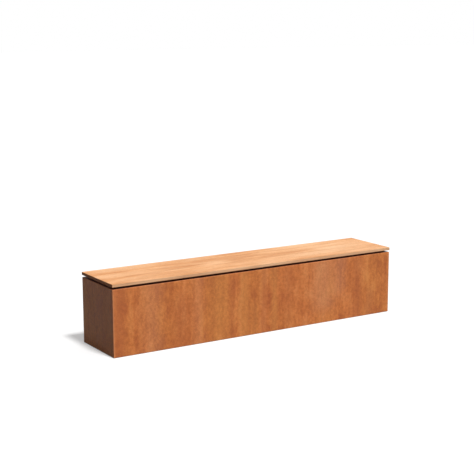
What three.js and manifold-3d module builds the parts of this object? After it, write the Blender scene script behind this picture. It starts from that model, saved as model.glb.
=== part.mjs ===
// Bench with planter: a long trough of folded weathering steel, closed over its whole top by a
// hardwood seat that lifts off. The seat stands on a dark shadow gap all round.
// Millimetres. +X runs along the bench, +Y towards its back and +Z up. The origin is on the ground,
// under the middle of the bench.

import * as THREE from 'three';
import { mergeVertices } from 'three/addons/utils/BufferGeometryUtils.js';
import Module from 'manifold-3d';

const wasm = await Module();
wasm.setup();

// Trough: four walls of folded sheet. Each has a flange turned in at the ground, a rim turned in at
// the top, and a lip turned down from the rim. Its ends are mitred and welded at the corners.
const troughLength = 2000;
const troughWidth = 400;
const troughHeight = 400;
const wallSheet = 2;
const wallBendRadius = 2;
const flangeWidth = 25;
const rimWidth = 50;
const lipHeight = 30;
const weldGap = 0.3;

// Floor: a shallow tray turned upside down, which stands on the flanges, with ribs under it.
const floorRise = 30;
const floorSheet = 2;
const floorBendRadius = 2;
const floorClearance = 3;
const drainRadius = 12.5;
const drainRowSpacing = 200;
const ribCount = 4;
const ribWidth = 40;
const ribSheet = 2;
const ribBendRadius = 2;

// Cross ties: folded channels between the lips, which keep the long walls from bulging.
const tieCount = 3;
const tieWidth = 40;
const tieHeight = 20;
const tieDrop = 10;
const tieSheet = 2;
const tieBendRadius = 2;

// Seat: boards laid close together along the bench, on flat bars across it. The bars stand on
// rubber pads on the rim, and short pieces of angle under the end bars drop into the trough's mouth.
const seatOverhang = 2;
const boardCount = 5;
const boardThickness = 18;
const boardJoint = 0.4;
const boardArris = 0.8;
const bearerCount = 5;
const bearerWidth = 50;
const bearerThickness = 8;
const bearerRecess = 25;
const screwHoleRadius = 3;
const screwHeadRadius = 5.5;
const screwHeadDepth = 2.5;
const screwRowSpacing = 25;
const screwMouthMargin = 12;
const padThickness = 4;
const padLength = 40;
const padRimMargin = 5;
const lugLeg = 20;
const lugThickness = 3;
const lugHeight = 25;
const lugClearance = 2;

// Fineness of round forms, and how far a cutting shape runs past the face that it cuts.
const bendSteps = 4;
const holeSides = 12;
const cutOverrun = 1;

// Levels and lines that several pieces share.
const mouthLength = troughLength - 2 * rimWidth;
const mouthWidth = troughWidth - 2 * rimWidth;
const bearerBottom = troughHeight + padThickness;
const seatBottom = bearerBottom + bearerThickness;
const trayLength = troughLength - 2 * (wallSheet + floorClearance);
const trayWidth = troughWidth - 2 * (wallSheet + floorClearance);
const ribPitch = trayLength / ribCount;
const bearerLength = troughWidth - 2 * bearerRecess;
const bearerSpan = troughLength - 2 * bearerRecess - bearerWidth;
const padWidth = rimWidth - bearerRecess - padRimMargin;
const seatLength = troughLength + 2 * seatOverhang;
const seatWidth = troughWidth + 2 * seatOverhang;
const boardWidth = (seatWidth - (boardCount - 1) * boardJoint) / boardCount;

const weatheringSteel = new THREE.MeshStandardMaterial({ color: 0xcb7942, roughness: 0.8, metalness: 0 });
const hardwood = new THREE.MeshStandardMaterial({ color: 0xdea679, roughness: 0.6, metalness: 0 });
const blackCoatedSteel = new THREE.MeshStandardMaterial({ color: 0x2a2724, roughness: 0.6, metalness: 0.1 });
const rubber = new THREE.MeshStandardMaterial({ color: 0x202021, roughness: 0.9, metalness: 0 });

const axisX = new THREE.Vector3(1, 0, 0);
const axisY = new THREE.Vector3(0, 1, 0);
const axisZ = new THREE.Vector3(0, 0, 1);

// An outline drawn in Y and Z is pushed along X, and one drawn in X and Z along -Y.
const pushAlongX = new THREE.Matrix4().makeBasis(axisY, axisZ, axisX);
const pushAlongY = new THREE.Matrix4().makeBasis(axisX, axisZ, axisY.clone().negate());

// The middles of evenly spaced pieces, the first and last of them half the span from the centre.
// One piece alone stands in the middle.
function evenPlaces(count, span) {
  const pitch = count > 1 ? span / (count - 1) : 0;
  const places = [];
  for (let index = 0; index < count; index += 1) {
    places.push((index - (count - 1) / 2) * pitch);
  }
  return places;
}

function solidOf(geometry) {
  const bare = geometry.clone();
  bare.deleteAttribute('normal');
  bare.deleteAttribute('uv');
  const merged = mergeVertices(bare);
  return new wasm.Manifold(new wasm.Mesh({
    numProp: 3,
    vertProperties: new Float32Array(merged.attributes.position.array),
    triVerts: new Uint32Array(merged.index.array),
  }));
}

function geometryOf(solid) {
  const mesh = solid.getMesh();
  const geometry = new THREE.BufferGeometry();
  geometry.setAttribute('position', new THREE.BufferAttribute(mesh.vertProperties, 3));
  geometry.setIndex(new THREE.BufferAttribute(mesh.triVerts, 1));
  const faceted = geometry.toNonIndexed();
  faceted.computeVertexNormals();
  return faceted;
}

// A straight prism with its middle at the origin, pushed out of an outline by one of the matrices.
function prism(outline, length, direction) {
  const geometry = new THREE.ExtrudeGeometry(outline, { depth: length, bevelEnabled: false });
  geometry.translate(0, 0, -length / 2);
  return geometry.applyMatrix4(direction);
}

// The section of a strip of sheet that is folded square at each inner corner of a path, always to
// the right. The path runs along the outer face.
function foldedSection(path, sheet, bendRadius) {
  const outerFace = [];
  const innerFace = [];
  const last = path.length - 1;
  const outerRadius = bendRadius + sheet;
  for (let index = 0; index <= last; index += 1) {
    const corner = path[index];
    const arriving = corner.clone().sub(path[Math.max(index - 1, 0)]);
    const leaving = path[Math.min(index + 1, last)].clone().sub(corner);
    const inwardBefore = rightOf(index > 0 ? arriving : leaving);
    const inwardAfter = rightOf(index < last ? leaving : arriving);
    if (index === 0 || index === last) {
      outerFace.push(corner.clone());
      innerFace.push(corner.clone().addScaledVector(inwardBefore, sheet));
      continue;
    }
    const centre = corner.clone();
    centre.addScaledVector(inwardBefore, outerRadius);
    centre.addScaledVector(inwardAfter, outerRadius);
    for (let step = 0; step <= bendSteps; step += 1) {
      const turn = (step / bendSteps) * Math.PI / 2;
      const outward = new THREE.Vector2();
      outward.addScaledVector(inwardBefore, -Math.cos(turn));
      outward.addScaledVector(inwardAfter, -Math.sin(turn));
      outerFace.push(centre.clone().addScaledVector(outward, outerRadius));
      innerFace.push(centre.clone().addScaledVector(outward, bendRadius));
    }
  }
  return new THREE.Shape([...outerFace, ...innerFace.reverse()]);
}

function rightOf(direction) {
  return new THREE.Vector2(direction.y, -direction.x).normalize();
}

// One wall, with its outer face on the plane Y = 0 and its folds behind it. Each end is cut at 45
// degrees, so that the four walls meet on their mitres.
function mitredWall(length) {
  const path = [
    new THREE.Vector2(flangeWidth, 0),
    new THREE.Vector2(0, 0),
    new THREE.Vector2(0, troughHeight),
    new THREE.Vector2(rimWidth, troughHeight),
    new THREE.Vector2(rimWidth, troughHeight - lipHeight),
  ];
  const section = foldedSection(path, wallSheet, wallBendRadius);
  const geometry = prism(section, 1, pushAlongX);
  const seamShift = weldGap * Math.SQRT1_2;
  const position = geometry.attributes.position;
  for (let index = 0; index < position.count; index += 1) {
    const reach = length / 2 - position.getY(index) - seamShift;
    position.setX(index, Math.sign(position.getX(index)) * reach);
  }
  geometry.computeVertexNormals();
  return geometry;
}

// A channel folded from sheet, with its web on top, which runs across the bench. Z = 0 is its foot.
function channel(width, height, length, sheet, bendRadius) {
  const path = [
    new THREE.Vector2(-width / 2, 0),
    new THREE.Vector2(-width / 2, height),
    new THREE.Vector2(width / 2, height),
    new THREE.Vector2(width / 2, 0),
  ];
  return prism(foldedSection(path, sheet, bendRadius), length, pushAlongY);
}

function rectangle(width, height) {
  const outline = new THREE.Shape();
  outline.moveTo(-width / 2, -height / 2);
  outline.lineTo(width / 2, -height / 2);
  outline.lineTo(width / 2, height / 2);
  outline.lineTo(-width / 2, height / 2);
  outline.closePath();
  return outline;
}

// A block that stands on Z = 0, with the edges of its top rounded as a fold is.
function roundToppedBlock(length, width, height, radius) {
  const outline = rectangle(length - 2 * radius, width - 2 * radius);
  const geometry = new THREE.ExtrudeGeometry(outline, {
    depth: height,
    bevelSize: radius,
    bevelThickness: radius,
    bevelSegments: bendSteps,
  });
  geometry.translate(0, 0, -radius);
  const keep = new THREE.BoxGeometry(length, width, height);
  keep.translate(0, 0, height / 2);
  return solidOf(geometry).intersect(solidOf(keep));
}

// The floor: a tray with its skirts down, and a pair of drain holes between each two ribs.
function floorTray() {
  const height = floorRise + floorSheet - wallSheet;
  const outside = roundToppedBlock(trayLength, trayWidth, height, floorBendRadius + floorSheet);
  const inside = roundToppedBlock(
    trayLength - 2 * floorSheet,
    trayWidth - 2 * floorSheet,
    height - floorSheet + cutOverrun,
    floorBendRadius,
  ).translate([0, 0, -cutOverrun]);
  let tray = outside.subtract(inside);
  const drain = new THREE.CylinderGeometry(drainRadius, drainRadius, floorSheet + 2 * cutOverrun, 2 * holeSides);
  drain.rotateX(Math.PI / 2);
  drain.translate(0, 0, height - floorSheet / 2);
  const drainSolid = solidOf(drain);
  const bayPlaces = evenPlaces(ribCount - 1, ribPitch * (ribCount - 2));
  for (const along of bayPlaces) {
    for (const across of evenPlaces(2, drainRowSpacing)) {
      tray = tray.subtract(drainSolid.translate([along, across, 0]));
    }
  }
  return geometryOf(tray);
}

// A block with its middle at the origin and all twelve edges eased.
function easedBlock(length, width, height, arris) {
  const easedOutline = (wide, high) => {
    const outline = new THREE.Shape();
    outline.moveTo(-wide / 2 + arris, -high / 2);
    outline.lineTo(wide / 2 - arris, -high / 2);
    outline.lineTo(wide / 2, -high / 2 + arris);
    outline.lineTo(wide / 2, high / 2 - arris);
    outline.lineTo(wide / 2 - arris, high / 2);
    outline.lineTo(-wide / 2 + arris, high / 2);
    outline.lineTo(-wide / 2, high / 2 - arris);
    outline.lineTo(-wide / 2, -high / 2 + arris);
    outline.closePath();
    return outline;
  };
  const alongX = solidOf(prism(easedOutline(width, height), length, pushAlongX));
  const alongY = solidOf(prism(easedOutline(length, height), width, pushAlongY));
  const alongZ = solidOf(prism(easedOutline(length, width), height, new THREE.Matrix4()));
  return geometryOf(alongX.intersect(alongY).intersect(alongZ));
}

// A flat bar that carries the boards, standing on Z = 0, with two countersunk screw holes under
// each board. The outer boards' screws stay clear of the rim.
function bearer(boardPlaces) {
  const bar = new THREE.BoxGeometry(bearerWidth, bearerLength, bearerThickness);
  bar.translate(0, 0, bearerThickness / 2);
  const shank = new THREE.CylinderGeometry(
    screwHoleRadius,
    screwHoleRadius,
    bearerThickness + 2 * cutOverrun,
    holeSides,
  );
  shank.rotateX(Math.PI / 2);
  shank.translate(0, 0, bearerThickness / 2);
  const slope = (screwHeadRadius - screwHoleRadius) / screwHeadDepth;
  const head = new THREE.CylinderGeometry(
    screwHoleRadius,
    screwHeadRadius + slope * cutOverrun,
    screwHeadDepth + cutOverrun,
    holeSides,
  );
  head.rotateX(Math.PI / 2);
  head.translate(0, 0, (screwHeadDepth - cutOverrun) / 2);
  const hole = solidOf(shank).add(solidOf(head));
  const reach = mouthWidth / 2 - screwMouthMargin;
  let drilled = solidOf(bar);
  for (const boardPlace of boardPlaces) {
    const across = Math.max(-reach, Math.min(reach, boardPlace));
    for (const along of evenPlaces(2, screwRowSpacing)) {
      drilled = drilled.subtract(hole.translate([along, across, 0]));
    }
  }
  return geometryOf(drilled);
}

// A short piece of angle, standing on end. Its outer corner is at X = 0, Y = 0 and it lies behind
// it, towards +X and +Y.
function locatingLug() {
  const outline = new THREE.Shape();
  outline.moveTo(0, 0);
  outline.lineTo(lugLeg, 0);
  outline.lineTo(lugLeg, lugThickness);
  outline.lineTo(lugThickness, lugThickness);
  outline.lineTo(lugThickness, lugLeg);
  outline.lineTo(0, lugLeg);
  outline.closePath();
  return new THREE.ExtrudeGeometry(outline, { depth: lugHeight, bevelEnabled: false });
}

function addPiece(group, name, geometry, material, x, y, z, turn = 0) {
  const mesh = new THREE.Mesh(geometry, material);
  mesh.name = name;
  mesh.position.set(x, y, z);
  mesh.rotation.z = turn;
  group.add(mesh);
}

const bench = new THREE.Group();

const trough = new THREE.Group();
bench.add(trough);

const longWall = mitredWall(troughLength);
const endWall = mitredWall(troughWidth);
addPiece(trough, 'front_panel', longWall, weatheringSteel, 0, -troughWidth / 2, 0);
addPiece(trough, 'rear_panel', longWall, weatheringSteel, 0, troughWidth / 2, 0, Math.PI);
addPiece(trough, 'left_end_panel', endWall, weatheringSteel, -troughLength / 2, 0, 0, -Math.PI / 2);
addPiece(trough, 'right_end_panel', endWall, weatheringSteel, troughLength / 2, 0, 0, Math.PI / 2);

addPiece(trough, 'floor_tray', floorTray(), weatheringSteel, 0, 0, wallSheet);

const ribLength = trayWidth - 2 * (floorSheet + floorBendRadius);
const rib = channel(ribWidth, floorRise - wallSheet, ribLength, ribSheet, ribBendRadius);
evenPlaces(ribCount, ribPitch * (ribCount - 1)).forEach((along, index) => {
  addPiece(trough, `floor_rib_${index + 1}`, rib, weatheringSteel, along, 0, wallSheet);
});

const tie = channel(tieWidth, tieHeight, mouthWidth - 2 * weldGap, tieSheet, tieBendRadius);
const tieFoot = troughHeight - tieDrop - tieHeight;
const tiePitch = mouthLength / (tieCount + 1);
evenPlaces(tieCount, tiePitch * (tieCount - 1)).forEach((along, index) => {
  addPiece(trough, `cross_tie_${index + 1}`, tie, weatheringSteel, along, 0, tieFoot);
});

const seat = new THREE.Group();
bench.add(seat);

const boardPlaces = evenPlaces(boardCount, seatWidth - boardWidth);
const board = easedBlock(seatLength, boardWidth, boardThickness, boardArris);
boardPlaces.forEach((across, index) => {
  addPiece(seat, `seat_board_${index + 1}`, board, hardwood, 0, across, seatBottom + boardThickness / 2);
});

const bearerBar = bearer(boardPlaces);
const pad = new THREE.BoxGeometry(padLength, padWidth, padThickness);
evenPlaces(bearerCount, bearerSpan).forEach((along, index) => {
  addPiece(seat, `seat_bearer_${index + 1}`, bearerBar, blackCoatedSteel, along, 0, bearerBottom);
  const padPlace = (bearerLength - padWidth) / 2;
  const padMiddle = troughHeight + padThickness / 2;
  addPiece(seat, `front_pad_${index + 1}`, pad, rubber, along, -padPlace, padMiddle);
  addPiece(seat, `rear_pad_${index + 1}`, pad, rubber, along, padPlace, padMiddle);
});

const lug = locatingLug();
const lugX = mouthLength / 2 - lugClearance;
const lugY = mouthWidth / 2 - lugClearance;
const lugFoot = bearerBottom - lugHeight;
addPiece(seat, 'locating_lug_front_left', lug, blackCoatedSteel, -lugX, -lugY, lugFoot);
addPiece(seat, 'locating_lug_front_right', lug, blackCoatedSteel, lugX, -lugY, lugFoot, Math.PI / 2);
addPiece(seat, 'locating_lug_rear_right', lug, blackCoatedSteel, lugX, lugY, lugFoot, Math.PI);
addPiece(seat, 'locating_lug_rear_left', lug, blackCoatedSteel, -lugX, lugY, lugFoot, -Math.PI / 2);

export default bench;
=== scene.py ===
import math

import bpy
from mathutils import Matrix, Vector


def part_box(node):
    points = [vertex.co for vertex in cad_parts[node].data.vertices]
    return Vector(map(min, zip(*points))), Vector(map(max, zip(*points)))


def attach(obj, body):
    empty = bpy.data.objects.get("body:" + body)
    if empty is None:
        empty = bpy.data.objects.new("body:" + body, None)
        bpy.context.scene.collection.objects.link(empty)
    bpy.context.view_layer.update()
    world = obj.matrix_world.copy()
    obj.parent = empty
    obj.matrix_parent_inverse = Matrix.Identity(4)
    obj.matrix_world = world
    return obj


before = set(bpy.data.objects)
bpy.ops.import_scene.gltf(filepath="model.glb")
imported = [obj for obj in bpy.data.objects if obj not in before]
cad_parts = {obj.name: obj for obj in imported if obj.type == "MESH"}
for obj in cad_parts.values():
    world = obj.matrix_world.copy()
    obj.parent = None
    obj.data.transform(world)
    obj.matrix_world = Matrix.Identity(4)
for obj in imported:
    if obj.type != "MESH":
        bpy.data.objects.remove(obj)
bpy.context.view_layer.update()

# The view: a long lens at eye height, about seven metres away, in front of the bench and to its
# left. It looks at a point over the bench, so that the bench lies low in the square picture.
picture_width_px = 474
focal_length_px = 1149.04
sensor_width_mm = 36.0
view_azimuth = math.radians(-32.277)
view_elevation = math.radians(10.645)
view_roll = math.radians(-0.104)
camera_distance = 7.2094
aim_to_the_right = -0.0393
aim_above_ground = 0.5589
farthest_seen = 200.0

backward = Vector((
    math.sin(view_azimuth) * math.cos(view_elevation),
    -math.cos(view_azimuth) * math.cos(view_elevation),
    math.sin(view_elevation),
))
level_right = Vector((math.cos(view_azimuth), math.sin(view_azimuth), 0.0))
level_up = backward.cross(level_right)
rolled_right = level_right * math.cos(view_roll) + level_up * math.sin(view_roll)
rolled_up = level_up * math.cos(view_roll) - level_right * math.sin(view_roll)

camera_data = bpy.data.cameras.new("camera")
camera_data.sensor_width = sensor_width_mm
camera_data.lens = focal_length_px / picture_width_px * sensor_width_mm
camera_data.clip_end = farthest_seen
camera = bpy.data.objects.new("camera", camera_data)
bpy.context.scene.collection.objects.link(camera)
camera.matrix_world = Matrix((rolled_right, rolled_up, backward)).transposed().to_4x4()
camera.location = backward * camera_distance + level_right * aim_to_the_right + level_up * aim_above_ground
bpy.context.scene.camera = camera
bpy.context.scene.view_settings.view_transform = "Standard"


# The light: one large soft lamp high in front, a little to the right, so that the shadow falls
# behind the bench and just past its left end. A white room fills the shade: a trace from all round,
# more from behind, and most from the front right. Seen itself or mirrored, the room is plain white.
def linear(hex_colour):
    """An sRGB hex colour as linear RGBA."""
    channels = [int(hex_colour[at:at + 2], 16) / 255 for at in (1, 3, 5)]
    return [c / 12.92 if c <= 0.04045 else ((c + 0.055) / 1.055) ** 2.4 for c in channels] + [1.0]


def feed(tree, node, inputs):
    """Sets a node's inputs, each found by name or number. It is given a value, a hex colour, or the
    node or socket that feeds it.
    """
    open_inputs = [socket for socket in node.inputs if socket.enabled]
    for key, value in inputs.items():
        if isinstance(key, int):
            socket = open_inputs[key]
        else:
            socket = next(socket for socket in open_inputs if socket.name == key)
        if isinstance(value, bpy.types.Node):
            value = next(output for output in value.outputs if output.enabled)
        if isinstance(value, bpy.types.NodeSocket):
            tree.links.new(value, socket)
        else:
            socket.default_value = linear(value) if isinstance(value, str) else value


def add_node(tree, kind, inputs=None, stops=None, **settings):
    """Adds a shader node and feeds it. Settings go to its properties, and stops, which are places and
    hex colours, to its colour ramp.
    """
    node = tree.nodes.new("ShaderNode" + kind)
    for name, value in settings.items():
        setattr(node, name, value)
    if stops:
        ramp = node.color_ramp.elements
        while len(ramp) < len(stops):
            ramp.new(1.0)
        for element, (place, colour) in zip(ramp, stops):
            element.position = place
            element.color = linear(colour)
    feed(tree, node, inputs or {})
    return node


lamp_from = Vector((0.070, -0.482, 1.0))
lamp_strength = 3.27
lamp_softness = math.radians(9.0)
lamp_data = bpy.data.lights.new("soft_lamp", "SUN")
lamp_data.energy = lamp_strength
lamp_data.angle = lamp_softness
lamp = bpy.data.objects.new("soft_lamp", lamp_data)
lamp.rotation_mode = "QUATERNION"
lamp.rotation_quaternion = (-lamp_from).to_track_quat("-Z", "Y")
bpy.context.scene.collection.objects.link(lamp)

room_light = 0.004
light_from_behind = 0.66
light_from_front = 1.38
towards_behind = Vector((0.64, 0.71, 0.35)).normalized()
towards_front = Vector((0.54, -0.80, 0.25)).normalized()
glow_edge_cosine = 0.45
world = bpy.data.worlds.new("white_room")
world.use_nodes = True
bpy.context.scene.world = world
world.cycles.sampling_method = "NONE"
room = world.node_tree
room.nodes.clear()
direction = add_node(room, "TexCoord").outputs["Generated"]
fill = None
for towards, strength in ((towards_behind, light_from_behind), (towards_front, light_from_front)):
    facing = add_node(room, "VectorMath", {0: direction, 1: towards}, operation="DOT_PRODUCT")
    glow = add_node(
        room,
        "MapRange",
        {"Value": facing, "From Min": glow_edge_cosine, "To Max": strength},
        interpolation_type="SMOOTHSTEP",
    )
    fill = add_node(room, "Math", {0: glow, 1: fill if fill else room_light}, operation="ADD")
ray = add_node(room, "LightPath")
shows_white = ray.outputs["Is Camera Ray"]
for other_ray in ("Is Glossy Ray", "Is Transmission Ray"):
    shows_white = add_node(room, "Math", {0: shows_white, 1: ray.outputs[other_ray]}, operation="MAXIMUM")
room_strength = add_node(room, "Mix", {0: shows_white, 1: fill, 2: 1.0}, data_type="FLOAT")
room_background = add_node(room, "Background", {"Color": "#FFFFFF", "Strength": room_strength})
add_node(room, "OutputWorld", {"Surface": room_background})

# The floor: plain and pale. It looks white where the lamp reaches it and grey in the bench's
# shadow. Gloss on the bench mirrors it as pale, and little of its light comes back to the bench.
floor_width = 120.0
floor_glow = 0.40
bpy.ops.object.select_all(action="DESELECT")
bpy.ops.mesh.primitive_plane_add(size=floor_width, location=(0, 0, 0))
floor = bpy.context.object
floor.name = "floor"
floor_paint = bpy.data.materials.new("white_floor")
floor_paint.use_nodes = True
shading = floor_paint.node_tree
shading.nodes.clear()
ray = add_node(shading, "LightPath")
dull = add_node(shading, "BsdfDiffuse", {"Color": "#222222"})
pale = add_node(shading, "BsdfDiffuse", {"Color": "#DADADA"})
grey = add_node(shading, "BsdfDiffuse", {"Color": "#C4C4C4"})
glow = add_node(shading, "Emission", {"Color": "#FFFFFF", "Strength": floor_glow})
seen = add_node(shading, "AddShader", {0: grey, 1: glow})
chosen = add_node(shading, "MixShader", {0: ray.outputs["Is Glossy Ray"], 1: dull, 2: pale})
chosen = add_node(shading, "MixShader", {0: ray.outputs["Is Camera Ray"], 1: chosen, 2: seen})
add_node(shading, "OutputMaterial", {"Surface": chosen})
floor.data.materials.append(floor_paint)

# The trough's four walls: 2 mm weathering steel, folded at the ground and at the rim, and rusted
# outdoors. The rust is a dull orange-brown oxide, grainy to the touch, with soft upright bands where
# rain has run down. Under the seat and inside the trough it is darker: partly sheltered rust, and
# partly painted shade, which is darkest on the rim under the seat.
MM = 0.001


def new_material(name, **shader_settings):
    """An empty material with a Principled shader: the material, its node tree and the shader."""
    material = bpy.data.materials.new(name)
    material.use_nodes = True
    tree = material.node_tree
    tree.nodes.clear()
    shader = add_node(tree, "BsdfPrincipled", shader_settings)
    add_node(tree, "OutputMaterial", {"Surface": shader})
    return material, tree, shader


def add_patterns(tree, place, patterns):
    """Noise patterns by name, from the lengths of their grains along X, Y and Z in millimetres and
    their detail.
    """
    made = {}
    for name, grain_mm, detail in patterns:
        grains_a_metre = [1.0 / (length * MM) for length in grain_mm]
        stretched = add_node(tree, "Mapping", {"Vector": place, "Scale": grains_a_metre})
        made[name] = add_node(tree, "TexNoise", {"Vector": stretched, "Scale": 1.0, "Detail": detail})
    return made


def add_up(tree, pattern, start, shares):
    """A start value and the given shares of patterns, added up."""
    total = start
    for name, share in shares:
        total = add_node(tree, "Math", {0: pattern[name], 1: share, 2: total}, operation="MULTIPLY_ADD")
    return total


def darken(tree, colour, pattern, specks):
    """Tints a colour where a pattern is low. Each kind of speck is given by the pattern's name, the
    value where the tint is full, the value where it is gone, the tint and its strength.
    """
    for name, full, gone, tint, strength in specks:
        shade = add_node(tree, "ValToRGB", {"Fac": pattern[name]}, stops=[(full, tint), (gone, "#FFFFFF")])
        colour = add_node(
            tree,
            "Mix",
            {0: strength, 1: colour, 2: shade},
            data_type="RGBA",
            blend_type="MULTIPLY",
        )
    return colour


def dress(material, names):
    """Gives CAD nodes one material."""
    for name in names:
        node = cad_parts[name]
        node.data.materials.clear()
        node.data.materials.append(material)


wall_low, wall_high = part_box("front_panel")
wall_sheet = 2 * MM
wall_bend = 4 * MM
# How far in from the outer face the rim's painted shade and sheltered rust begin, and where they are full.
sheltered_and_shaded_from = 0.3 * MM
sheltered_and_shaded_fully = 3.5 * MM
outer_skin = 0.6 * wall_sheet
inner_skin = 0.9 * wall_sheet
bend_blend = 0.1 * wall_bend
ground_weld_reach = 14 * MM
ground_weld_strength = 0.3
rust_relief = 0.3 * MM

rust, tree, shader = new_material("rusted_weathering_steel", **{"IOR": 1.5, "Specular IOR Level": 0.5})
place = add_node(tree, "TexCoord").outputs["Object"]
axes = add_node(tree, "SeparateXYZ", {"Vector": place})
pattern = add_patterns(tree, place, (
    ("bands", (120, 120, 2200), 2.0),
    ("hue", (240, 240, 900), 3.0),
    ("streaks", (22, 22, 260), 3.0),
    ("blotches", (58, 58, 110), 4.0),
    ("mottle", (15, 15, 18), 5.0),
    ("grain", (5, 5, 5), 4.0),
    ("pits", (1.6, 1.6, 1.6), 2.0),
))
centred = -1.09
tone = add_up(tree, pattern, centred, (
    ("bands", 1.05),
    ("streaks", 0.62),
    ("blotches", 1.16),
    ("mottle", 0.40),
))
yellow_rust = add_node(tree, "ValToRGB", {"Fac": tone}, stops=[
    (0.20, "#C26A2E"),
    (0.42, "#D37A36"),
    (0.56, "#DD843D"),
    (0.80, "#E79349"),
])
red_rust = add_node(tree, "ValToRGB", {"Fac": tone}, stops=[
    (0.20, "#C3672F"),
    (0.42, "#D47837"),
    (0.56, "#DE813F"),
    (0.80, "#E8904E"),
])
redness = add_node(
    tree,
    "MapRange",
    {"Value": pattern["hue"], "From Min": 0.36, "From Max": 0.64},
    interpolation_type="SMOOTHSTEP",
)
rust_colour = add_node(tree, "Mix", {0: redness, 1: yellow_rust, 2: red_rust}, data_type="RGBA")

# Soft upright marks on the front wall, in metres: where they are along it, half their width, and
# from what height to what height. Then which rust shows there, ochre, umber or a greyish bloom, and
# how strongly.
ochre = "#E09047"
umber = "#BF6732"
bloom = "#E19A6C"
front_marks = (
    (-0.955, 0.070, -0.20, 0.50, umber, 0.70),
    (-0.850, 0.050, -0.20, 0.50, umber, 0.20),
    (-0.750, 0.120, -0.20, 0.50, bloom, 0.30),
    (-0.560, 0.120, -0.20, 0.30, umber, 0.48),
    (-0.440, 0.070, -0.20, 0.50, bloom, 0.22),
    (-0.300, 0.120, -0.20, 0.50, ochre, 0.50),
    (-0.205, 0.035, -0.20, 0.38, umber, 0.45),
    (-0.120, 0.055, -0.20, 0.50, ochre, 0.58),
    (-0.045, 0.060, -0.20, 0.20, ochre, 0.40),
    (0.025, 0.035, -0.20, 0.50, umber, 0.50),
    (0.095, 0.045, -0.20, 0.50, ochre, 0.55),
    (0.200, 0.060, -0.20, 0.50, umber, 0.35),
    (0.470, 0.150, 0.08, 0.42, bloom, 0.42),
    (0.600, 0.080, 0.16, 0.50, bloom, 0.34),
    (0.740, 0.060, -0.20, 0.50, umber, 0.50),
    (0.850, 0.070, -0.20, 0.18, umber, 0.55),
    (0.880, 0.070, 0.22, 0.50, ochre, 0.12),
)
mark_softness = 60 * MM
mark_wander = 60 * MM
on_front = add_node(tree, "MapRange", {
    "Value": axes.outputs["Y"],
    "From Min": wall_low.y + wall_sheet,
    "From Max": wall_low.y + wall_sheet / 2,
})
wandering = add_node(
    tree,
    "Math",
    {0: pattern["blotches"], 1: mark_wander, 2: axes.outputs["X"]},
    operation="MULTIPLY_ADD",
)
for along, half_width, foot, head, tint, strength in front_marks:
    away = add_node(tree, "Math", {0: wandering, 1: along + mark_wander / 2}, operation="SUBTRACT")
    away = add_node(tree, "Math", {0: away}, operation="ABSOLUTE")
    mask = on_front
    for value, nowhere, fully in (
        (away, half_width, 0.0),
        (axes.outputs["Z"], foot - mark_softness, foot + mark_softness),
        (axes.outputs["Z"], head + mark_softness, head - mark_softness),
    ):
        edge = add_node(
            tree,
            "MapRange",
            {"Value": value, "From Min": nowhere, "From Max": fully},
            interpolation_type="SMOOTHSTEP",
        )
        mask = add_node(tree, "Math", {0: mask, 1: edge}, operation="MULTIPLY")
    mask = add_node(tree, "Math", {0: mask, 1: strength}, operation="MULTIPLY")
    rust_colour = add_node(tree, "Mix", {0: mask, 1: rust_colour, 2: tint}, data_type="RGBA")

# Fine rust: dull specks a few millimetres across, and pores that only show close by. Real pores
# are finer still, and are drawn this coarse to show at all.
rust_colour = darken(tree, rust_colour, pattern, (
    ("mottle", 0.30, 0.62, "#D5CCC4", 0.42),
    ("grain", 0.28, 0.62, "#C6BCB4", 0.48),
    ("pits", 0.30, 0.56, "#B4ABA3", 0.50),
))

# How far a point lies in from the trough's outer faces. This gives a paler strip beside the corners,
# where the welds were ground, and sets the rained-on rust apart from the darker rust on the rim and
# inside. That darker rust is partly sheltered rust and partly painted shade: the rim under the seat
# is painted nearly black, standing in for the shade in the gap.
in_from_end = add_node(tree, "Math", {0: axes.outputs["X"]}, operation="ABSOLUTE")
in_from_end = add_node(tree, "Math", {0: wall_high.x, 1: in_from_end}, operation="SUBTRACT")
in_from_side = add_node(tree, "Math", {0: axes.outputs["Y"]}, operation="ABSOLUTE")
in_from_side = add_node(tree, "Math", {0: -wall_low.y, 1: in_from_side}, operation="SUBTRACT")
depth = add_node(tree, "Math", {0: in_from_end, 1: in_from_side}, operation="MINIMUM")
from_corner = add_node(tree, "Math", {0: in_from_end, 1: in_from_side}, operation="MAXIMUM")
ground_weld = add_node(
    tree,
    "MapRange",
    {"Value": from_corner, "From Min": ground_weld_reach, "From Max": 0.0, "To Max": ground_weld_strength},
    interpolation_type="SMOOTHSTEP",
)
rust_colour = add_node(tree, "Mix", {0: ground_weld, 1: rust_colour, 2: bloom}, data_type="RGBA")
# Painted shade: the rim's top under the seat is darkened from just inside its outer edge.
painted_shade_under_seat = add_node(tree, "MapRange", {
    "Value": depth,
    "From Min": sheltered_and_shaded_from,
    "From Max": sheltered_and_shaded_fully,
})
behind_wall = add_node(tree, "MapRange", {"Value": depth, "From Min": outer_skin, "From Max": inner_skin})
below_bend = add_node(tree, "MapRange", {
    "Value": axes.outputs["Z"],
    "From Min": wall_high.z - wall_bend + bend_blend,
    "From Max": wall_high.z - wall_bend - bend_blend,
})
behind_wall = add_node(tree, "Math", {0: behind_wall, 1: below_bend}, operation="MULTIPLY")
sheltered_rust_and_painted_shade = add_node(tree, "Math", {0: painted_shade_under_seat, 1: behind_wall}, operation="MAXIMUM")
# Dark rust for the sheltered parts, deep enough to also stand in for the shade in the gap.
dark_rust_and_painted_shade = add_node(tree, "ValToRGB", {"Fac": tone}, stops=[
    (0.25, "#481A07"),
    (0.50, "#66290C"),
    (0.75, "#7C3916"),
])
rust_colour = add_node(tree, "Mix", {0: sheltered_rust_and_painted_shade, 1: rust_colour, 2: dark_rust_and_painted_shade}, data_type="RGBA")

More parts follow.
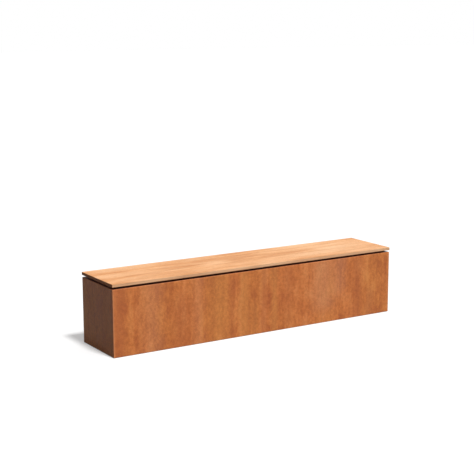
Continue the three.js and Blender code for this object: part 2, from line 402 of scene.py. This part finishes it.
relief = add_node(tree, "Math", {0: pattern["pits"], 1: 0.5, 2: pattern["grain"]}, operation="MULTIPLY_ADD")
bump = add_node(tree, "Bump", {"Height": relief, "Strength": 0.35, "Distance": rust_relief})
roughness = add_node(tree, "MapRange", {
    "Value": pattern["grain"],
    "From Min": 0.3,
    "From Max": 0.7,
    "To Min": 0.50,
    "To Max": 0.70,
})
feed(tree, shader, {"Base Color": rust_colour, "Roughness": roughness, "Normal": bump})
dress(rust, ["front_panel", "rear_panel", "left_end_panel", "right_end_panel"])

# The corner seams: the walls' mitred ends are welded together from the flange at the ground to the
# lip in the mouth, and ground nearly flush. What stays is a fine line that is barely raised. The
# pads lie across it on the rim, so it is flat there.
seam_width = 0.5 * MM
seam_stands_proud = 0.06 * MM
seam_ground_off = 0.03 * MM
mitre_gap = 0.3 * MM
merge_distance = 0.01 * MM
cut_tolerance = 0.001 * MM
nearly_one = 0.99
sharp_edge = math.radians(30)


def pick(piece, kind, wanted):
    """Goes to edit mode and selects only the faces, edges or vertices that pass a test. It is given
    a face's centre and normal, an edge's middle and direction, or a vertex's place and normal.
    """
    bpy.ops.object.mode_set(mode="EDIT")
    bpy.ops.mesh.select_mode(type=kind)
    bpy.ops.mesh.select_all(action="DESELECT")
    bpy.ops.object.mode_set(mode="OBJECT")
    mesh = piece.data
    if kind == "FACE":
        for face in mesh.polygons:
            face.select = wanted(face.center, face.normal)
    elif kind == "EDGE":
        for edge in mesh.edges:
            one, other = (mesh.vertices[end].co for end in edge.vertices)
            edge.select = wanted((one + other) / 2, (other - one).normalized())
    else:
        for vertex in mesh.vertices:
            vertex.select = wanted(vertex.co, vertex.normal)
    bpy.ops.object.mode_set(mode="EDIT")


def lay_copies(master, places, body):
    """Copies a finished piece to named places, each with its own mesh, and takes the first away."""
    for name, place in places.items():
        piece = bpy.data.objects.new(name, master.data.copy())
        bpy.context.scene.collection.objects.link(piece)
        piece.data.transform(place)
        if place.determinant() < 0:
            piece.data.flip_normals()
        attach(piece, body)
    bpy.data.objects.remove(master)


mitre = Vector((1.0, -1.0, 0.0)).normalized()
seam = bpy.data.objects.new("seam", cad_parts["left_end_panel"].data.copy())
bpy.context.scene.collection.objects.link(seam)
bpy.ops.object.select_all(action="DESELECT")
seam.select_set(True)
bpy.context.view_layer.objects.active = seam
bpy.ops.object.mode_set(mode="EDIT")
bpy.ops.mesh.select_all(action="SELECT")
bpy.ops.mesh.remove_doubles(threshold=merge_distance)
pick(seam, "FACE", lambda centre, normal: normal.dot(mitre) < nearly_one)
bpy.ops.mesh.delete(type="FACE")
bpy.ops.mesh.select_all(action="SELECT")
bpy.ops.transform.translate(value=mitre * (mitre_gap - seam_width) / 2)
bpy.ops.mesh.extrude_region_move(TRANSFORM_OT_translate={"value": mitre * seam_width})
bpy.ops.mesh.select_all(action="SELECT")
bpy.ops.mesh.normals_make_consistent(inside=False)
bpy.ops.transform.shrink_fatten(value=seam_stands_proud, use_even_offset=True)
for height, up in ((wall_high.z - seam_ground_off, 1.0), (seam_ground_off, -1.0)):
    bpy.ops.mesh.select_all(action="SELECT")
    bpy.ops.mesh.bisect(
        plane_co=(0, 0, height),
        plane_no=(0, 0, up),
        use_fill=True,
        clear_outer=True,
        threshold=cut_tolerance,
    )
bpy.ops.object.mode_set(mode="OBJECT")
bpy.ops.object.shade_smooth_by_angle(angle=sharp_edge)
seam.data.materials.clear()
seam.data.materials.append(rust)
lay_copies(seam, {
    "corner_seam_front_left": Matrix.Identity(4),
    "corner_seam_front_right": Matrix.Scale(-1, 4, (1, 0, 0)),
    "corner_seam_rear_right": Matrix.Rotation(math.pi, 4, "Z"),
    "corner_seam_rear_left": Matrix.Scale(-1, 4, (0, 1, 0)),
}, "trough")

# The floor tray, its ribs and the cross ties: the same sheet, cut and folded, but out of the rain.
# Their rust is thinner and browner, with some of the mill's grey scale left on it.
inner_relief = 0.3 * MM

inner_rust, tree, shader = new_material("sheltered_weathering_steel", **{"IOR": 1.5})
place = add_node(tree, "TexCoord").outputs["Object"]
pattern = add_patterns(tree, place, (
    ("scale", (90, 90, 90), 4.0),
    ("mottle", (15, 15, 15), 4.0),
    ("grain", (4, 4, 4), 2.0),
))
centred = -0.35
tone = add_up(tree, pattern, centred, (("scale", 1.2), ("mottle", 0.5)))
inner_colour = add_node(tree, "ValToRGB", {"Fac": tone}, stops=[
    (0.25, "#54413A"),
    (0.42, "#663F2C"),
    (0.60, "#80502F"),
    (0.80, "#925C34"),
])
bump = add_node(tree, "Bump", {"Height": pattern["grain"], "Strength": 0.3, "Distance": inner_relief})
roughness = add_node(tree, "MapRange", {
    "Value": pattern["mottle"],
    "From Min": 0.3,
    "From Max": 0.7,
    "To Min": 0.62,
    "To Max": 0.84,
})
feed(tree, shader, {"Base Color": inner_colour, "Roughness": roughness, "Normal": bump})
dress(inner_rust, [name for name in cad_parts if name.startswith(("floor_", "cross_tie_"))])

# The weld beads inside the trough: up the walls' inner corners, round the ends of the cross ties,
# and in short stitches along the ribs and the tray's skirt. Each is a half-sunk bead with the
# ripples that its puddle left. It rusts smoother and darker than the sheet.
bead_sides = 12
bead_waist = 0.84
bead_tip = 0.55
ripple = 2.5 * MM
sharp_ripple = math.radians(50)
bead_relief = 0.15 * MM

weld_rust, tree, shader = new_material("rusted_weld_metal", **{"IOR": 1.5})
place = add_node(tree, "TexCoord").outputs["Object"]
pattern = add_patterns(tree, place, (("scale", (22, 22, 22), 3.0), ("grain", (1.5, 1.5, 1.5), 2.0)))
weld_colour = add_node(tree, "ValToRGB", {"Fac": pattern["scale"]}, stops=[
    (0.32, "#3E3433"),
    (0.50, "#5A3A2A"),
    (0.68, "#754629"),
])
bump = add_node(tree, "Bump", {"Height": pattern["grain"], "Strength": 0.25, "Distance": bead_relief})
roughness = add_node(tree, "MapRange", {
    "Value": pattern["scale"],
    "From Min": 0.3,
    "From Max": 0.7,
    "To Min": 0.5,
    "To Max": 0.72,
})
feed(tree, shader, {"Base Color": weld_colour, "Roughness": roughness, "Normal": bump})


def model_bead(radius, length, metal):
    """A bead along X with its middle at the origin."""
    bpy.ops.object.select_all(action="DESELECT")
    bpy.ops.mesh.primitive_cylinder_add(
        vertices=bead_sides,
        radius=radius,
        depth=length,
        rotation=(0, math.pi / 2, 0),
    )
    bead = bpy.context.object
    bpy.ops.object.transform_apply(location=True, rotation=True, scale=True)
    ripples = round(length / ripple)
    pick(bead, "EDGE", lambda middle, direction: abs(direction.x) > nearly_one)
    bpy.ops.mesh.subdivide(number_cuts=2 * ripples - 1)
    step = length / (2 * ripples)
    pick(bead, "VERT", lambda at, normal: round((at.x + length / 2) / step) % 2 == 0)
    bpy.ops.transform.resize(value=(1, bead_waist, bead_waist), center_override=(0, 0, 0))
    pick(bead, "VERT", lambda at, normal: abs(at.x) > (length - step) / 2)
    bpy.ops.transform.resize(value=(1, bead_tip, bead_tip), center_override=(0, 0, 0))
    bpy.ops.object.mode_set(mode="OBJECT")
    bpy.ops.object.shade_smooth_by_angle(angle=sharp_ripple)
    bead.data.materials.append(metal)
    return bead


along_x = Matrix.Identity(4)
along_y = Matrix.Rotation(math.pi / 2, 4, "Z")
along_z = Matrix.Rotation(-math.pi / 2, 4, "Y")
corners = (("front_left", -1, -1), ("front_right", 1, -1), ("rear_right", 1, 1), ("rear_left", -1, 1))

inner_bead_radius = 1.5 * MM
inner_bead_from_faces = 0.3 * MM
inner_bead_foot = 5 * MM
inner_bead_head = 394 * MM
inner_x = wall_high.x - wall_sheet - inner_bead_from_faces
inner_y = -wall_low.y - wall_sheet - inner_bead_from_faces
inner_middle = (inner_bead_foot + inner_bead_head) / 2
lay_copies(
    model_bead(inner_bead_radius, inner_bead_head - inner_bead_foot, weld_rust),
    {
        f"corner_bead_{name}": Matrix.Translation((inner_x * right, inner_y * back, inner_middle)) @ along_z
        for name, right, back in corners
    },
    "trough",
)

tie_bead_radius = 1.5 * MM
tie_top_bead_length = 32 * MM
tie_leg_bead_length = 15 * MM
lip_gap = 0.15 * MM
top_beads = {}
leg_beads = {}
for number in (1, 2, 3):
    tie_low, tie_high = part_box(f"cross_tie_{number}")
    tie_middle = (tie_low.x + tie_high.x) / 2
    leg_middle = tie_low.z + tie_leg_bead_length / 2
    for end, across in (("front", tie_low.y - lip_gap), ("rear", tie_high.y + lip_gap)):
        top_beads[f"tie_{number}_bead_{end}_top"] = Matrix.Translation((tie_middle, across, tie_high.z))
        for leg, along in (("left", tie_low.x), ("right", tie_high.x)):
            spot = Matrix.Translation((along, across, leg_middle))
            leg_beads[f"tie_{number}_bead_{end}_{leg}"] = spot @ along_z
lay_copies(
    model_bead(tie_bead_radius, tie_top_bead_length, weld_rust),
    top_beads,
    "trough",
)
lay_copies(
    model_bead(tie_bead_radius, tie_leg_bead_length, weld_rust),
    leg_beads,
    "trough",
)

stitch_radius = 1.5 * MM
stitch_length = 30 * MM
rib_stitch_places = (-120 * MM, 0.0, 120 * MM)
rib_stitch_inset = 1.2 * MM
rib_stitch_drop = 1.0 * MM
tray_sheet = 2 * MM
skirt_stitch_inset = 0.6 * MM
skirt_stitch_along = (-870 * MM, -497.5 * MM, 0.0, 497.5 * MM, 870 * MM)
skirt_stitch_across = (-90 * MM, 90 * MM)
stitches = {}
for number in (1, 2, 3, 4):
    rib_low, rib_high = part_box(f"floor_rib_{number}")
    for row, across in enumerate(rib_stitch_places, 1):
        sides = (("left", rib_low.x + rib_stitch_inset), ("right", rib_high.x - rib_stitch_inset))
        for side, along in sides:
            spot = Matrix.Translation((along, across, rib_high.z - rib_stitch_drop))
            stitches[f"rib_{number}_stitch_{side}_{row}"] = spot @ along_y
tray_low, tray_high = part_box("floor_tray")
skirt_x = tray_high.x - tray_sheet - skirt_stitch_inset
skirt_y = tray_high.y - tray_sheet - skirt_stitch_inset
skirt_z = tray_low.z + skirt_stitch_inset
for side, back in (("front", -1), ("rear", 1)):
    for row, along in enumerate(skirt_stitch_along, 1):
        spot = Matrix.Translation((along, back * skirt_y, skirt_z))
        stitches[f"skirt_stitch_{side}_{row}"] = spot @ along_x
for side, right in (("left", -1), ("right", 1)):
    for row, across in enumerate(skirt_stitch_across, 1):
        spot = Matrix.Translation((right * skirt_x, across, skirt_z))
        stitches[f"skirt_stitch_{side}_{row}"] = spot @ along_y
lay_copies(model_bead(stitch_radius, stitch_length, weld_rust), stitches, "trough")

# The seat: planed and oiled hardwood boards, laid lengthwise and close together. Each board is
# sawn from its own place in the log, so rings, tint and figure differ from board to board, and the
# end grain shows the rings in arcs. The oil leaves a low sheen.
board_names = sorted(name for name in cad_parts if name.startswith("seat_board_"))
first_low, first_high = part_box(board_names[0])
second_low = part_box(board_names[1])[0]
board_pitch = second_low.y - first_low.y
board_joint = second_low.y - first_high.y
seat_edge = first_low.y - board_joint / 2
board_middle_height = (first_low.z + first_high.z) / 2
ring_spacing = 4.5 * MM
pith_reach = 110 * MM
pith_depth = 70 * MM
ring_wander_across = 30 * MM
ring_wander_up = 24 * MM
log_reach = (9.0, 5.0, 3.0)
wood_relief = 0.25 * MM

wood, tree, shader = new_material("oiled_hardwood", **{"IOR": 1.45, "Specular IOR Level": 0.25})
coordinates = add_node(tree, "TexCoord")
place = coordinates.outputs["Object"]
axes = add_node(tree, "SeparateXYZ", {"Vector": place})
board_number = add_node(tree, "Math", {0: axes.outputs["Y"], 1: seat_edge}, operation="SUBTRACT")
board_number = add_node(tree, "Math", {0: board_number, 1: board_pitch}, operation="DIVIDE")
board_number = add_node(tree, "Math", {0: board_number}, operation="FLOOR")
chance = add_node(tree, "TexWhiteNoise", {"W": board_number}, noise_dimensions="1D").outputs["Color"]
chances = add_node(tree, "SeparateXYZ", {"Vector": chance})
log_shift = add_node(tree, "VectorMath", {0: chance, 1: log_reach}, operation="MULTIPLY")
in_log = add_node(tree, "VectorMath", {0: place, 1: log_shift}, operation="ADD")
pattern = add_patterns(tree, in_log, (
    ("wander", (650, 90, 90), 2.0),
    ("clouds", (240, 55, 55), 3.0),
    ("figure", (420, 17, 17), 3.0),
    ("flecks", (110, 4.0, 4.0), 4.0),
    ("fibres", (240, 1.3, 1.3), 3.0),
    ("pores", (24, 0.9, 0.9), 2.0),
))

pith_side = add_node(tree, "MapRange", {
    "Value": chances.outputs["X"],
    "To Min": -pith_reach,
    "To Max": pith_reach,
})
board_middle = add_node(
    tree,
    "Math",
    {0: board_number, 1: board_pitch, 2: seat_edge + board_pitch / 2},
    operation="MULTIPLY_ADD",
)
off_middle = add_node(tree, "Math", {0: axes.outputs["Y"], 1: board_middle}, operation="SUBTRACT")
from_pith = {
    "Y": add_node(tree, "Math", {0: off_middle, 1: pith_side}, operation="SUBTRACT"),
    "Z": add_node(
        tree,
        "Math",
        {0: axes.outputs["Z"], 1: board_middle_height - pith_depth},
        operation="SUBTRACT",
    ),
}
for axis, wander in (("Y", ring_wander_across), ("Z", ring_wander_up)):
    from_pith[axis] = add_node(
        tree,
        "Math",
        {0: pattern["wander"], 1: wander, 2: from_pith[axis]},
        operation="MULTIPLY_ADD",
    )
from_pith = add_node(tree, "CombineXYZ", from_pith)
ring_radius = add_node(tree, "VectorMath", {0: from_pith}, operation="LENGTH")
ring_turn = add_node(tree, "Math", {0: ring_radius, 1: 2 * math.pi / ring_spacing}, operation="MULTIPLY")
pattern["rings"] = add_node(tree, "Math", {0: ring_turn}, operation="SINE")

pattern["board"] = chances.outputs["Z"]
centred = -0.93
tone = add_up(tree, pattern, centred, (
    ("clouds", 1.30),
    ("figure", 1.00),
    ("fibres", 0.55),
    ("rings", 0.04),
    ("board", 0.16),
))
wood_colour = add_node(tree, "ValToRGB", {"Fac": tone}, stops=[
    (0.10, "#BE7942"),
    (0.38, "#D3945D"),
    (0.58, "#DEA26E"),
    (0.90, "#ECB786"),
])

# Darker heartwood and paler sapwood: which board has it, where along the board its middle is and
# how far it reaches each way, in metres, and how strongly it shows. Its ends run out along the
# grain.
heartwood = "#C07F48"
sapwood = "#F2C79C"
board_marks = (
    (1, -0.80, 0.20, sapwood, 0.22),
    (1, -0.46, 0.30, heartwood, 0.42),
    (1, 0.06, 0.24, sapwood, 0.34),
    (1, 0.36, 0.12, heartwood, 0.22),
    (1, 0.80, 0.40, sapwood, 0.26),
    (2, -0.68, 0.25, heartwood, 0.34),
    (2, -0.08, 0.20, sapwood, 0.14),
    (2, 0.55, 0.55, sapwood, 0.56),
    (3, -0.85, 0.30, sapwood, 0.24),
    (3, -0.46, 0.26, heartwood, 0.52),
    (3, -0.22, 0.14, sapwood, 0.24),
    (3, -0.04, 0.15, heartwood, 0.54),
    (3, 0.27, 0.30, heartwood, 0.54),
    (3, 0.72, 0.34, sapwood, 0.58),
    (4, -0.22, 0.42, heartwood, 0.34),
    (4, 0.06, 0.26, heartwood, 0.40),
    (4, 0.70, 0.50, sapwood, 0.30),
    (5, -0.75, 0.36, sapwood, 0.44),
    (5, -0.30, 0.20, sapwood, 0.30),
    (5, 0.55, 0.44, sapwood, 0.46),
)
grain_wander = 300 * MM
half_a_board = 0.5
along_grain = add_node(
    tree,
    "Math",
    {0: pattern["figure"], 1: grain_wander, 2: axes.outputs["X"]},
    operation="MULTIPLY_ADD",
)
for board, along, half_length, tint, strength in board_marks:
    on_board = add_node(tree, "Math", {0: board_number, 1: board - 1, 2: half_a_board}, operation="COMPARE")
    away = add_node(tree, "Math", {0: along_grain, 1: along + grain_wander / 2}, operation="SUBTRACT")
    away = add_node(tree, "Math", {0: away}, operation="ABSOLUTE")
    mask = add_node(
        tree,
        "MapRange",
        {"Value": away, "From Min": half_length, "From Max": 0.0, "To Max": strength},
        interpolation_type="SMOOTHSTEP",
    )
    mask = add_node(tree, "Math", {0: mask, 1: on_board}, operation="MULTIPLY")
    wood_colour = add_node(tree, "Mix", {0: mask, 1: wood_colour, 2: tint}, data_type="RGBA")

# Dull flecks and open pores run along the grain. Real pores are a few tenths of a millimetre wide,
# and are drawn coarser to show.
wood_colour = darken(tree, wood_colour, pattern, (
    ("flecks", 0.30, 0.50, "#C99E7E", 0.38),
    ("pores", 0.30, 0.46, "#A87C5E", 0.48),
))

# The long edges are a little paler and greyer: partly the side grain's own tint, and partly painted
# sheen that lifts the less lit edges towards the top's look. The ends drink more oil, so they are
# darker, and show the rings.
ring_contrast = 0.22
end_tone = add_node(
    tree,
    "Math",
    {0: pattern["rings"], 1: ring_contrast, 2: pattern["pores"]},
    operation="MULTIPLY_ADD",
)
end_grain = add_node(tree, "ValToRGB", {"Fac": end_tone}, stops=[
    (0.26, "#8E4C20"),
    (0.50, "#AE642E"),
    (0.74, "#C67E45"),
])
facing = add_node(tree, "SeparateXYZ", {"Vector": coordinates.outputs["Normal"]})
for axis, tint, strength in (("Y", "#E8C4A2", 0.35), ("X", end_grain, 1.0)):
    side = add_node(tree, "Math", {0: facing.outputs[axis]}, operation="ABSOLUTE")
    side = add_node(tree, "MapRange", {"Value": side, "From Min": 0.5, "From Max": 0.9, "To Max": strength})
    wood_colour = add_node(tree, "Mix", {0: side, 1: wood_colour, 2: tint}, data_type="RGBA")

# Dirt has settled in the joints between the boards and on their eased edges.
dirt_reach = 1.6 * MM
full_dirt_reach = 0.6 * MM
dirt_strength = 0.55
off_middle = add_node(tree, "Math", {0: off_middle}, operation="ABSOLUTE")
joint_dirt = add_node(tree, "MapRange", {
    "Value": off_middle,
    "From Min": board_pitch / 2 - dirt_reach,
    "From Max": board_pitch / 2 - full_dirt_reach,
    "To Max": dirt_strength,
})
outer_board_middle = -seat_edge - board_pitch / 2
from_seat_middle = add_node(tree, "Math", {0: axes.outputs["Y"]}, operation="ABSOLUTE")
between_boards = add_node(tree, "Math", {0: from_seat_middle, 1: outer_board_middle}, operation="LESS_THAN")
joint_dirt = add_node(tree, "Math", {0: joint_dirt, 1: between_boards}, operation="MULTIPLY")
wood_colour = add_node(tree, "Mix", {0: joint_dirt, 1: wood_colour, 2: "#6E4326"}, data_type="RGBA")

# Painted shade: the boards' sides are darkened along their lower edges, which hang over the shaded
# gap. Their undersides are left out.
painted_shade_height = 3.5 * MM
full_painted_shade_height = painted_shade_height / 3
painted_shade_strength = 0.75
lower_edge_painted_shade = add_node(tree, "MapRange", {
    "Value": axes.outputs["Z"],
    "From Min": first_low.z + painted_shade_height,
    "From Max": first_low.z + full_painted_shade_height,
    "To Max": painted_shade_strength,
})
not_below = add_node(tree, "MapRange", {
    "Value": facing.outputs["Z"],
    "From Min": -0.95,
    "From Max": -0.6,
})
lower_edge_painted_shade = add_node(tree, "Math", {0: lower_edge_painted_shade, 1: not_below}, operation="MULTIPLY")
wood_colour = add_node(tree, "Mix", {0: lower_edge_painted_shade, 1: wood_colour, 2: "#90421A"}, data_type="RGBA")

relief = add_node(
    tree,
    "Math",
    {0: pattern["pores"], 1: 0.5, 2: pattern["fibres"]},
    operation="MULTIPLY_ADD",
)
bump = add_node(tree, "Bump", {"Height": relief, "Strength": 0.25, "Distance": wood_relief})
roughness = add_node(tree, "MapRange", {
    "Value": pattern["fibres"],
    "From Min": 0.3,
    "From Max": 0.7,
    "To Min": 0.55,
    "To Max": 0.68,
})
feed(tree, shader, {"Base Color": wood_colour, "Roughness": roughness, "Normal": bump})
dress(wood, board_names)

# The bearers and lugs: mild steel bar and angle with a black powder coat, which has a fine
# orange-peel skin and takes a little dust.
peel_relief = 0.2 * MM

coat, tree, shader = new_material("black_powder_coat", **{"IOR": 1.5})
place = add_node(tree, "TexCoord").outputs["Object"]
pattern = add_patterns(tree, place, (("peel", (1.4, 1.4, 1.4), 2.0), ("dust", (30, 30, 30), 4.0)))
coat_colour = add_node(tree, "ValToRGB", {"Fac": pattern["dust"]}, stops=[
    (0.35, "#191513"),
    (0.65, "#28221E"),
])
bump = add_node(tree, "Bump", {"Height": pattern["peel"], "Strength": 0.2, "Distance": peel_relief})
roughness = add_node(tree, "MapRange", {
    "Value": pattern["dust"],
    "From Min": 0.3,
    "From Max": 0.7,
    "To Min": 0.45,
    "To Max": 0.62,
})
feed(tree, shader, {"Base Color": coat_colour, "Roughness": roughness, "Normal": bump})
dress(coat, [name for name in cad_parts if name.startswith(("seat_bearer_", "locating_lug_"))])

# The lugs' welds: two short beads to each lug, where its inner faces meet the end bearer, made
# before the coating and covered by it.
lug_bead_radius = 1.3 * MM
lug_bead_length = 15 * MM
lug_bead_from_face = 0.5 * MM
lug_sheet = 3 * MM
lug_beads = {}
for name, right, back in corners:
    lug_low, lug_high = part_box(f"locating_lug_{name}")
    middle_x = (lug_low.x + lug_high.x - right * lug_sheet) / 2
    middle_y = (lug_low.y + lug_high.y - back * lug_sheet) / 2
    face_x = (lug_high.x if right > 0 else -lug_low.x) - lug_sheet - lug_bead_from_face
    face_y = (lug_high.y if back > 0 else -lug_low.y) - lug_sheet - lug_bead_from_face
    bead_height = lug_high.z - lug_bead_from_face
    long_spot = Matrix.Translation((middle_x, back * face_y, bead_height))
    short_spot = Matrix.Translation((right * face_x, middle_y, bead_height))
    lug_beads[f"lug_bead_{name}_long"] = long_spot @ along_x
    lug_beads[f"lug_bead_{name}_short"] = short_spot @ along_y
lay_copies(model_bead(lug_bead_radius, lug_bead_length, coat), lug_beads, "seat")

# The screws: black zinc-plated steel, countersunk, with a six-lobed recess, driven up through the
# bearers into the boards, two to a board at each bearer. The plating is smooth and a little cloudy.
screw_sides = 24
screw_head_radius = 5.1 * MM
screw_head_rim = 0.35 * MM
screw_cone = 2.3 * MM
screw_neck_radius = 2.5 * MM
screw_neck = 1.6 * MM
thread_turns = 6
thread_pitch = 2.2 * MM
thread_crest_radius = 2.7 * MM
thread_root_radius = 0.85 * screw_neck_radius
screw_point = 2.5 * MM
screw_point_radius = 0.4 * MM
head_below_face = 0.12 * MM
recess_radius = 2.6 * MM
recess_lobes = 6
recess_waist = 0.74
recess_taper = 0.86
recess_depth = 1.6 * MM
recess_middle = 0.5 * MM
just_past_recess = 1.05 * recess_radius
on_head = 0.01 * MM
cloud_relief = 0.1 * MM

plating, tree, shader = new_material("black_zinc_plated_steel", **{"Metallic": 1.0})
place = add_node(tree, "TexCoord").outputs["Object"]
pattern = add_patterns(tree, place, (("cloud", (3, 3, 3), 3.0),))
plating_colour = add_node(tree, "ValToRGB", {"Fac": pattern["cloud"]}, stops=[
    (0.3, "#3B3A3C"),
    (0.7, "#575452"),
])
roughness = add_node(tree, "MapRange", {
    "Value": pattern["cloud"],
    "From Min": 0.3,
    "From Max": 0.7,
    "To Min": 0.32,
    "To Max": 0.48,
})
bump = add_node(tree, "Bump", {"Height": pattern["cloud"], "Strength": 0.15, "Distance": cloud_relief})
feed(tree, shader, {"Base Color": plating_colour, "Roughness": roughness, "Normal": bump})

bpy.ops.object.select_all(action="DESELECT")
bpy.ops.mesh.primitive_circle_add(vertices=screw_sides, radius=screw_head_radius, fill_type="NGON")
screw = bpy.context.object
bpy.ops.object.mode_set(mode="EDIT")
bpy.ops.mesh.select_all(action="SELECT")
radius_now = screw_head_radius
length_now = 0.0
outline = [
    (screw_head_rim, screw_head_radius),
    (screw_cone, screw_neck_radius),
    (screw_neck, screw_neck_radius),
]
outline += [(thread_pitch / 2, thread_crest_radius), (thread_pitch / 2, thread_root_radius)] * thread_turns
outline += [(screw_point, screw_point_radius)]
for rise, radius in outline:
    bpy.ops.mesh.extrude_region_move(TRANSFORM_OT_translate={"value": (0, 0, rise)})
    length_now += rise
    wider = radius / radius_now
    bpy.ops.transform.resize(value=(wider, wider, 1), center_override=(0, 0, length_now))
    radius_now = radius
pick(screw, "FACE", lambda centre, normal: centre.z < on_head and normal.z < -nearly_one)
bpy.ops.mesh.inset(thickness=screw_head_radius - recess_radius)
side_angle = 2 * math.pi / screw_sides
sides_a_lobe = screw_sides // recess_lobes
pick(
    screw,
    "VERT",
    lambda at, normal: at.z < on_head
    and math.hypot(at.x, at.y) < just_past_recess
    and round(math.atan2(at.y, at.x) / side_angle) % sides_a_lobe >= sides_a_lobe / 2,
)
bpy.ops.transform.resize(value=(recess_waist, recess_waist, 1), center_override=(0, 0, 0))
pick(
    screw,
    "FACE",
    lambda centre, normal: centre.z < on_head and math.hypot(centre.x, centre.y) < recess_middle,
)
bpy.ops.mesh.extrude_region_move(TRANSFORM_OT_translate={"value": (0, 0, recess_depth)})
bpy.ops.transform.resize(value=(recess_taper, recess_taper, 1), center_override=(0, 0, recess_depth))
bpy.ops.mesh.select_all(action="SELECT")
bpy.ops.mesh.normals_make_consistent(inside=False)
bpy.ops.object.mode_set(mode="OBJECT")
bpy.ops.object.shade_smooth_by_angle(angle=sharp_edge)
screw.data.materials.append(plating)

screw_row_half = 12.5 * MM
outer_screw_reach = 138 * MM
turn_by_bearer = 2.1
turn_by_row = 0.7
screw_places = {}
for number in (1, 2, 3, 4, 5):
    bearer_low, bearer_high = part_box(f"seat_bearer_{number}")
    bearer_middle = (bearer_low.x + bearer_high.x) / 2
    for row, board in enumerate(board_names, 1):
        board_low, board_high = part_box(board)
        across = (board_low.y + board_high.y) / 2
        across = max(-outer_screw_reach, min(outer_screw_reach, across))
        for side, along in (("left", -screw_row_half), ("right", screw_row_half)):
            spot = (bearer_middle + along, across, bearer_low.z + head_below_face)
            turned = Matrix.Rotation(turn_by_bearer * number + turn_by_row * row, 4, "Z")
            screw_places[f"screw_{number}_{row}_{side}"] = Matrix.Translation(spot) @ turned
lay_copies(screw, screw_places, "seat")

# The pads: black rubber strip, cut to length, under the ends of the bearers. The seat rests on the
# trough's rim through them. They are dull and a little dusty, and their skin's fine grain is drawn
# coarser than it is, to show.
skin_relief = 0.15 * MM

rubber, tree, shader = new_material("black_rubber", **{"Roughness": 0.85, "IOR": 1.5})
place = add_node(tree, "TexCoord").outputs["Object"]
pattern = add_patterns(tree, place, (("skin", (0.9, 0.9, 0.9), 2.0),))
rubber_colour = add_node(tree, "ValToRGB", {"Fac": pattern["skin"]}, stops=[
    (0.35, "#161311"),
    (0.65, "#241F1C"),
])
bump = add_node(tree, "Bump", {"Height": pattern["skin"], "Strength": 0.3, "Distance": skin_relief})
feed(tree, shader, {"Base Color": rubber_colour, "Normal": bump})
dress(rubber, [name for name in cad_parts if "_pad_" in name])
